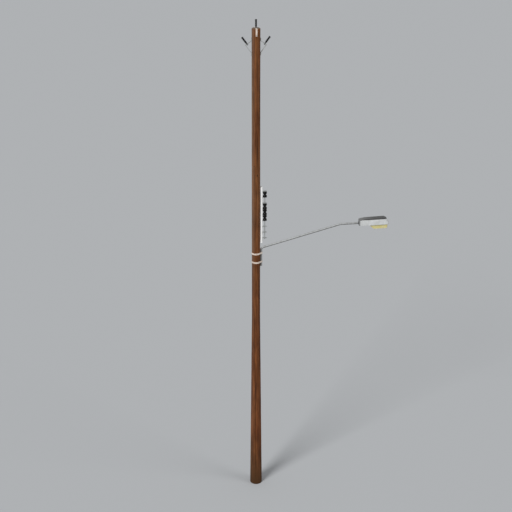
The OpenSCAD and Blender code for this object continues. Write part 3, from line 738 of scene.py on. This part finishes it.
def makeBolts(spec):
    low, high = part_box("top_saddle")
    z = low[2] + spec["saddleUp"] * mm
    rows = [("saddle_bolt_front", (0, low[1], z), (0, -1, 0)),
            ("saddle_bolt_back", (0, high[1], z), (0, 1, 0))]
    setCopies(makeBolt(boltSets["lag"]), rows, paleZinc, "pale_steel")
    rows = []
    for name, way in (("left", -1), ("right", 1)):
        low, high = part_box(name + "_bracket")
        x = way * spec["bracketOut"] * mm
        rows.append((name + "_lag_upper", (x, 0, high[2] - spec["bracketTop"] * mm), (way, 0, 0)))
        rows.append((name + "_lag_lower", (x, 0, low[2] + spec["bracketFoot"] * mm), (way, 0, 0)))
    setCopies(makeBolt(boltSets["lag"]), rows, rusty, "galvanised_steel")
    low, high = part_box("rack_channel")
    rows = [("rack_bolt_lower", (high[0], 0, low[2] + spec["rackEnd"] * mm), (1, 0, 0)),
            ("rack_bolt_upper", (high[0], 0, high[2] - spec["rackEnd"] * mm), (1, 0, 0))]
    setCopies(makeBolt(boltSets["rack"]), rows, rusty, "galvanised_steel")
    rows = [("tail_bolt_%d" % x, onLamp(x, 0, 0), -lampUp) for x in spec["tail"]]
    setCopies(makeBolt(boltSets["clamp"]), rows, dullZinc, "galvanised_steel")


# the bolt that draws a band tight: shank, head and nut in one; sizes in mm
bandBoltSet = {"shank": 10, "lug": 17, "across": 16, "head": 7, "nut": 9, "past": 6, "edge": 1.2,
               "narrow": 0.9, "in": 11, "sides": 20}


def makeBandBolts(spec):
    deselectAll()
    shank, lug, corner = spec["shank"] / 2, spec["lug"], spec["across"] / math.sqrt(3)
    nutEnd = -lug - spec["nut"]
    shankEnd = nutEnd - spec["past"]
    turn([(shank - 1, shankEnd), (shank, shankEnd + 1), (shank, lug + 1)], spec["sides"])
    makeHexagon(spec["across"], lug, spec["head"])
    turn([(corner * spec["narrow"], nutEnd), (corner, nutEnd + spec["edge"]), (corner, -lug)], 6)
    rows = []
    for band in ("lower_band", "upper_band"):
        low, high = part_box(band)
        rows.append((band + "_bolt", (0, high[1] - spec["in"] * mm, (low[2] + high[2]) / 2), (1, 0, 0)))
    setCopies(closeShape(hexagonSet["smooth"]), rows, rusty, "galvanised_steel")


# flat-headed rivets hold the ears to the channel; sizes in mm, the dome as shares of radius and height
rivetSet = {"wide": 19, "high": 2.2, "down": 22.8, "tab": 5, "sunk": 0.5, "sides": 28, "smooth": 50,
            "dome": [(1, 0.35), (0.93, 0.7), (0.72, 0.93), (0.4, 1)]}


def makeRivets(spec):
    deselectAll()
    half, tall = spec["wide"] / 2, spec["high"]
    turn([(half, -spec["sunk"])] + [(half * r, tall * z) for r, z in spec["dome"]], spec["sides"])
    rows = []
    for i in range(1, earCount + 1):
        low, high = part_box("rack_ear_%d" % i)
        where = (low[0] + spec["tab"] * mm, 0, high[2] - spec["down"] * mm)
        rows.append(("ear_rivet_%d" % i, where, (1, 0, 0)))
    setCopies(closeShape(spec["smooth"]), rows, dullZinc, "galvanised_steel")


# a split pin keeps the rod in; sizes in mm, legs and eye as shares of its thickness, spread in degrees
cotterSet = {"thick": 4.4, "long": 34, "eye": 6.5, "up": 11, "split": 5, "spread": 32, "legs": (0.7, 0.8),
             "eyeThick": 0.9, "sides": 12, "legSides": 10, "eyeSides": (24, 10), "smooth": 40}


def makeCotter(spec):
    deselectAll()
    half, end, split = spec["thick"] / 2, spec["long"] / 2, spec["split"]
    turn([(half, -end + split - 1), (half, end)], spec["sides"])
    # its two legs are spread apart
    thin, wide = spec["legs"]
    for way in (-1, 1):
        turn([(half * thin, -end - split), (half * wide, -end + split)], spec["legSides"])
        bpy.ops.mesh.select_linked()
        bpy.ops.transform.rotate(value=math.radians(way * spec["spread"]), orient_axis="X",
                                 center_override=(0, 0, (-end + split) * mm))
    around, across = spec["eyeSides"]
    bpy.ops.mesh.primitive_torus_add(major_radius=spec["eye"] * mm, minor_radius=half * spec["eyeThick"] * mm,
                                     major_segments=around, minor_segments=across,
                                     location=(0, 0, (end + spec["eye"]) * mm),
                                     rotation=(math.radians(90), 0, 0))
    low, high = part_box("rack_rod")
    where = ((low[0] + high[0]) / 2, 0, low[2] + spec["up"] * mm)
    setCopies(closeShape(spec["smooth"]), [("rod_cotter", where, (0, -1, 0))], dullZinc, "galvanised_steel")


makeBolts(seatSet)
makeBandBolts(bandBoltSet)
makeRivets(rivetSet)
makeCotter(cotterSet)
print("fasteners: bolts, nuts, rivets and the split pin")

# the lamp's pipe, bent twice: straight up, a tight knee, a long rise and a wide elbow; sizes in mm
armSet = {"round": 42, "wall": 3.6, "kneeStart": 5730.6, "kneeRadius": 63, "kneeTurn": 75.07, "kneeSteps": 14,
          "elbowX": 1753, "elbowCut": 34.07, "elbowRadius": 260, "elbowSteps": 8, "sides": 40, "smooth": 40}


def makeArm(spec):
    low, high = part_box("lamp_arm")
    half = spec["round"] / 2 * mm
    place = Vector((low[0] + half, 0, low[2]))
    lean = 90.0
    deselectAll()
    bpy.ops.mesh.primitive_circle_add(vertices=spec["sides"], radius=half, fill_type="NOTHING",
                                      location=place)
    setMode("EDIT")
    selectAll()

    def ahead():
        return Vector((math.cos(math.radians(lean)), 0, math.sin(math.radians(lean))))

    def straight(length):
        extrude(ahead() * length)
        return place + ahead() * length

    def bend(radius, angle, steps):
        way = ahead()
        centre = place + Vector((way.z, 0, -way.x)) * radius * mm
        bpy.ops.mesh.spin(steps=steps, angle=-math.radians(angle), center=centre, axis=(0, 1, 0))
        rest = math.radians(lean - angle)
        return centre + Vector((-math.sin(rest), 0, math.cos(rest))) * radius * mm

    place = straight(spec["kneeStart"] * mm - low[2])
    place = bend(spec["kneeRadius"], spec["kneeTurn"], spec["kneeSteps"])
    lean -= spec["kneeTurn"]
    run = (spec["elbowX"] * mm - place.x) / math.cos(math.radians(lean)) - spec["elbowCut"] * mm
    place = straight(run)
    place = bend(spec["elbowRadius"], lean, spec["elbowSteps"])
    lean = 0.0
    straight(high[0] - place.x)
    closeShape(spec["smooth"])
    applyModifier("SOLIDIFY", thickness=spec["wall"] * mm, offset=-1)
    shadeSmooth(spec["smooth"])
    dress(bpy.context.object, "arm_pipe", pipeZinc, "root", "arm_steel", "lamp_arm")


makeArm(armSet)
print("arm: bent pipe")

# porcelain, thrown and glazed, so that every edge is rounded; (radius, height) in mm from the foot
insulatorSet = {"foot": [(16.4, 0), (17.5, 1.1), (17.5, 10.6), (16.7, 13.4), (14.5, 16.8)],
                "shed": [(14.5, 3.4), (17, 4.7), (20.3, 6.9), (21.7, 8.6), (22, 9.9), (21.5, 11.4),
                         (19.9, 13.4), (17.5, 17.8), (15.5, 22.6), (14.6, 26)],
                "head": [(14.6, 101.2), (18, 102.2), (20.8, 104.2), (22, 106.6), (22, 108.8), (20.9, 111.2),
                         (17.2, 114), (15, 116.4), (14.5, 119), (14.5, 122), (15, 124.4), (17.4, 126.8),
                         (20.6, 128.8), (22, 131.4), (22, 135), (20.9, 137.8), (18.3, 139.5), (14, 140),
                         (1, 140)],
                "first": 16.8, "pitch": 27.07, "sheds": 3, "sides": 48,
                "side": (188.06, 10079.69), "lean": (0.58563, 0.81058)}
spoolSet = {"tall": 112, "bore": 8.3, "grooveRadius": 21, "grooveOut": 47.5, "sides": 56, "count": 4,
            "rim": [(33.5, 0), (37.8, 1), (40.4, 3.4), (41.5, 6.8), (41.5, 30.2), (40.9, 33.4), (39.6, 35.7)],
            "groove": (240, 228, 214, 198)}
porcelainSmooth = 60


def makeInsulators(spec):
    profile = list(spec["foot"])
    for i in range(spec["sheds"]):
        profile += [(r, z + spec["first"] + i * spec["pitch"]) for r, z in spec["shed"]]
    profile += spec["head"]
    deselectAll()
    turn(profile, spec["sides"])
    source = closeShape(porcelainSmooth)
    x, z = (value * mm for value in spec["side"])
    out, up = spec["lean"]
    for name, where, towards in (("top", (0, 0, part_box("top_insulator")[0][2]), (0, 0, 1)),
                                 ("left", (-x, 0, z), (-out, 0, up)), ("right", (x, 0, z), (out, 0, up))):
        piece = copyTo(source, where, towards)
        dress(piece, name + "_porcelain", glaze, "root", "black_glaze", name + "_insulator")
    discard(source)


def makeSpools(spec):
    # the lower half's outline, the groove's and the upper half's, closed through the bore
    tall, out, radius, bore = spec["tall"], spec["grooveOut"], spec["grooveRadius"], spec["bore"]
    lower = spec["rim"] + arc((out, tall / 2), radius, spec["groove"])
    upper = [(r, tall - z) for r, z in reversed(lower)]
    deselectAll()
    turn([(bore, 0)] + lower + [(out - radius, tall / 2)] + upper + [(bore, tall), (bore, 0)], spec["sides"],
         bored=True)
    source = closeShape(porcelainSmooth)
    for i in range(1, spec["count"] + 1):
        low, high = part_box("spool_%d" % i)
        piece = copyTo(source, ((low[0] + high[0]) / 2, 0, low[2]), (0, 0, 1))
        dress(piece, "spool_porcelain_%d" % i, glaze, "spool_%d_body" % i, "black_glaze", "spool_%d" % i)
    discard(source)


makeInsulators(insulatorSet)
makeSpools(spoolSet)
print("porcelain: insulators and spools")

# the refractor: a pressed bowl with upright prism ribs and a flat rim; rear and nose are its ends along the
# lamp, at the rim and at the foot of its walls, with half widths, the foot's as a share; sizes in mm
lensSet = {"rim": 5.6, "rimThick": 3, "top": -3.8, "low": -116.4, "rear": 199.2, "nose": 604.8,
           "rearWide": 54.6, "noseWide": 63.8, "rearRound": 15, "noseRound": 39, "roundSteps": 5,
           "splits": (200, 100, 50, 24, 12), "ribDeep": 1.6, "thick": 4, "levels": 7,
           "foot": {"rear": 305, "nose": 599, "wide": 0.82}, "floorRound": 18, "floorTurn": (22, 45, 68, 88),
           "narrow": 15, "border": 6, "panel": (2, 1.5), "smooth": 20}


def makeLens(spec):
    top = spec["top"] * mm
    ends = ((-1, spec["rear"], spec["rearWide"], spec["rearRound"]),
            (1, spec["nose"], spec["noseWide"], spec["noseRound"]))
    halfway, fullLong = (spec["rear"] + spec["nose"]) / 2, spec["nose"] - spec["rear"]
    deselectAll()
    bpy.ops.mesh.primitive_plane_add(size=2)
    piece = bpy.context.object
    setMode("EDIT")
    # the plane becomes the rim's outline, wider at the nose, with its corners rounded
    for way, x, wide, curve in ends:
        pick("VERT", lambda place, point: place.x * way > 0.9)
        widen(1, wide * mm)
        bpy.ops.transform.translate(value=(x * mm - way, 0, top))
    for way, x, wide, curve in ends:
        pick("VERT", lambda place, point: abs(place.x - x * mm) < 0.1 * mm and abs(place.y) > (wide - 1) * mm)
        bpy.ops.mesh.bevel(offset=curve * mm, segments=spec["roundSteps"], affect="VERTICES")
    selectAll()
    bpy.ops.mesh.delete(type="ONLY_FACE")
    for longest in spec["splits"]:
        pick("EDGE", lambda place, edge: edge.calc_length() > longest * mm)
        bpy.ops.mesh.subdivide(number_cuts=1)
    # every second point of the outline runs down as a groove
    outline = bmesh.from_edit_mesh(piece.data).verts[:]
    walk, last = [outline[0]], None
    while True:
        here = walk[-1]
        step = [e.other_vert(here) for e in here.link_edges if e.other_vert(here) is not last]
        last = here
        if step[0] is walk[0]:
            break
        walk.append(step[0])
    grooves = {v.index for v in walk[::2]}
    pick("VERT", lambda place, point: point.index in grooves)
    bpy.ops.object.vertex_group_assign_new()
    selectAll()
    # walls that draw in to the foot, then a round edge down to the floor
    foot, curve, levels = spec["foot"], spec["floorRound"], spec["levels"]
    middle, long, wide, place = halfway, fullLong, 1.0, top
    deep = spec["top"] - spec["low"] - curve
    rows = [(i / levels, 0) for i in range(1, levels + 1)] + [(1, a) for a in spec["floorTurn"]]
    for share, angle in rows:
        inset = curve * (1 - math.cos(math.radians(angle)))
        drop = deep * share + curve * math.sin(math.radians(angle))
        rear = spec["rear"] + (foot["rear"] - spec["rear"]) * share + inset
        nose = spec["nose"] + (foot["nose"] - spec["nose"]) * share - inset
        newWide = 1 + (foot["wide"] - 1) * share - inset / (spec["noseWide"] - spec["narrow"])
        newMiddle, newLong = (rear + nose) / 2, nose - rear
        extrude(((newMiddle - middle) * mm, 0, top - drop * mm - place))
        widen(newLong / long, newWide / wide, (newMiddle * mm, 0, 0))
        middle, long, wide, place = newMiddle, newLong, newWide, top - drop * mm
    # the floor, with a panel that is pressed in a little
    bpy.ops.mesh.edge_face_add()
    bpy.ops.mesh.inset(thickness=spec["border"] * mm, depth=0)
    panelEdge, panelDeep = spec["panel"]
    bpy.ops.mesh.inset(thickness=panelEdge * mm, depth=-panelDeep * mm)
    selectAll()
    bpy.ops.mesh.normals_make_consistent(inside=False)
    setMode("OBJECT")
    applyModifier("DISPLACE", vertex_group=piece.vertex_groups[0].name, strength=-spec["ribDeep"] * mm,
                  mid_level=0)
    setMode("EDIT")
    # the rim turns out over the door frame
    pick("EDGE", lambda place, edge: place.z > top - 0.5 * mm)
    extrude((0, 0, spec["rimThick"] * mm))
    widen(1 + 2 * spec["rim"] / fullLong, 1 + spec["rim"] / spec["noseWide"], (halfway * mm, 0, top))
    closeShape(spec["smooth"])
    applyModifier("SOLIDIFY", thickness=spec["thick"] * mm, offset=-1)
    shadeSmooth(spec["smooth"])
    setOnLamp(piece)
    dress(piece, "refractor", lensGlass, "lens_door", "lens_glass", "lens")


makeLens(lensSet)
print("lens: ribbed refractor")

# the lamp's dark top cover, lifted from the housing's crown and set in from its edge; sizes in mm
coverSet = {"crown": 40, "upward": 0.3, "edge": 7, "thick": 3, "round": 1}


def makeCover(spec):
    piece = openCopy("lamp_housing", "cover")
    bpy.ops.mesh.normals_make_consistent(inside=False)
    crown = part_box("lamp_housing")[1][2] - spec["crown"] * mm
    pick("FACE", lambda place, face: not (face.normal.z > spec["upward"] and place.z > crown))
    bpy.ops.mesh.delete(type="FACE")
    selectAll()
    bpy.ops.mesh.inset(thickness=spec["edge"] * mm, depth=0)
    bpy.ops.mesh.select_all(action="INVERT")
    bpy.ops.mesh.delete(type="FACE")
    joinFlats()
    applyModifier("SOLIDIFY", thickness=spec["thick"] * mm, offset=1)
    roundEdges(spec["round"], segments=2, angle=40)
    dress(piece, "lamp_cover", coverCoat, "root", "lamp_casting")


# the grey cap over the lamp's tail, lifted from the outside of the housing's end; sizes in mm
capSet = {"long": 17, "thick": 1.6, "round": 0.7}


def makeCap(spec):
    low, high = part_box("lamp_housing")
    middle = (low[2] + high[2]) / 2
    piece = openCopy("lamp_housing", "cap")
    bpy.ops.mesh.normals_make_consistent(inside=False)
    bpy.ops.mesh.bisect(plane_co=onLamp(spec["long"], 0, 0), plane_no=lampAhead, clear_outer=True)

    def isOutside(place, face):
        # the end face, and the side and top faces that look away from the lamp's middle
        outwards = face.normal.dot(Vector((0, place.y, max(place.z - middle, 0))))
        return (face.normal.x < -0.5 or outwards > 4 * mm) and face.normal.z >= -0.5

    pick("FACE", lambda place, face: not isOutside(place, face))
    bpy.ops.mesh.delete(type="FACE")
    joinFlats()
    applyModifier("SOLIDIFY", thickness=spec["thick"] * mm, offset=1)
    roundEdges(spec["round"], segments=2, angle=50)
    dress(piece, "tail_cap", capCoat, "root", "lamp_casting")


# a rubber ring where the pipe goes in; (radius, height) in mm
sealSet = {"sides": 40, "smooth": 50,
           "profile": [(21.2, -1), (27.5, -1), (28.5, 2), (28.2, 5), (26.2, 8), (23, 9.5), (21.2, 9.5)]}


def makeSeal(spec):
    deselectAll()
    turn(spec["profile"] + spec["profile"][:1], spec["sides"], bored=True)
    where = onLamp(0, 0, lampSet["entry"])
    setCopies(closeShape(spec["smooth"]), [("entry_seal", where, (-1, 0, 0))], rubber, "black_glaze")


# the spring latch that holds the lens door at the nose: a tongue under the frame and a spring that is bent up
# in steps of rise and reach; sizes in mm, the tip's width as a share
latchSet = {"wide": 22, "thick": 2.5, "under": 26, "gap": 1.2, "frame": -7.4, "tip": 0.7, "round": 0.8,
            "spring": ((9, 0), (8, 2.5), (6, 2), (5, -1.5)), "smooth": 30}


def makeLatch(spec):
    deselectAll()
    end, under = lampSet["long"] * mm, spec["frame"] * mm
    thick, wide, gap = spec["thick"] * mm, spec["wide"] * mm, spec["gap"]
    bpy.ops.mesh.primitive_cube_add(size=1, scale=((spec["under"] + gap) * mm, wide, thick),
                                    location=(end - (spec["under"] - gap) / 2 * mm, 0, under - thick / 2))
    putInMesh()
    setMode("EDIT")
    nose = end + gap * mm
    pick("FACE", lambda place, face: face.normal.x > 0.9)
    extrude((thick, 0, 0))
    pick("FACE", lambda place, face: face.normal.z > 0.9 and place.x > nose)
    for rise, reach in spec["spring"]:
        extrude((reach * mm, 0, rise * mm))
    bpy.ops.transform.resize(value=(1, spec["tip"], 1))
    closeShape(spec["smooth"])
    roundEdges(spec["round"], segments=2, angle=50)
    piece = bpy.context.object
    setOnLamp(piece)
    dress(piece, "door_latch", dullZinc, "lens_door", "galvanised_steel")


# the bulb: a frosted envelope blown in one smooth curve, on a rolled aluminium screw cap;
# (radius, distance) in mm from the cap's foot
bulbSet = {"foot": 211.4, "sides": 40, "round": 24, "domeFrom": 172, "dome": (0, 12, 24, 36, 48, 60, 72, 82),
           "neck": [(14.1, 47), (14.5, 54), (15.3, 58), (16.7, 64), (18.5, 71), (20.2, 79), (21.8, 87),
                    (23.1, 96), (23.8, 106), (24, 118)],
           "contact": [(5, 0), (6, 0.8), (6.2, 2), (12, 6)], "crest": 14.6, "root": 13.5, "pitch": 3.6,
           "turns": 12, "smooth": 60, "capSmooth": 70}


def makeBulb(spec):
    where = onLamp(spec["foot"], 0, lampSet["entry"])
    deselectAll()
    turn(spec["neck"] + arc((0, spec["domeFrom"]), spec["round"], spec["dome"]), spec["sides"])
    source = closeShape(spec["smooth"])
    dress(copyTo(source, where, lampAhead), "bulb_envelope", bulbGlass, "root", "bulb_glass", "bulb")
    discard(source)
    deselectAll()
    profile = list(spec["contact"])
    start, pitch = profile[-1][1] + 1, spec["pitch"]
    for i in range(spec["turns"]):
        profile += [(spec["crest"], start + i * pitch), (spec["root"], start + (i + 0.5) * pitch)]
    turn(profile + [(spec["crest"], start + spec["turns"] * pitch)], spec["sides"])
    setCopies(closeShape(spec["capSmooth"]), [("bulb_cap", where, lampAhead)], anodised, "reflector_metal")


makeCover(coverSet)
makeCap(capSet)
makeSeal(sealSet)
makeLatch(latchSet)
makeBulb(bulbSet)
print("lamp: cover, seal, latch and bulb")
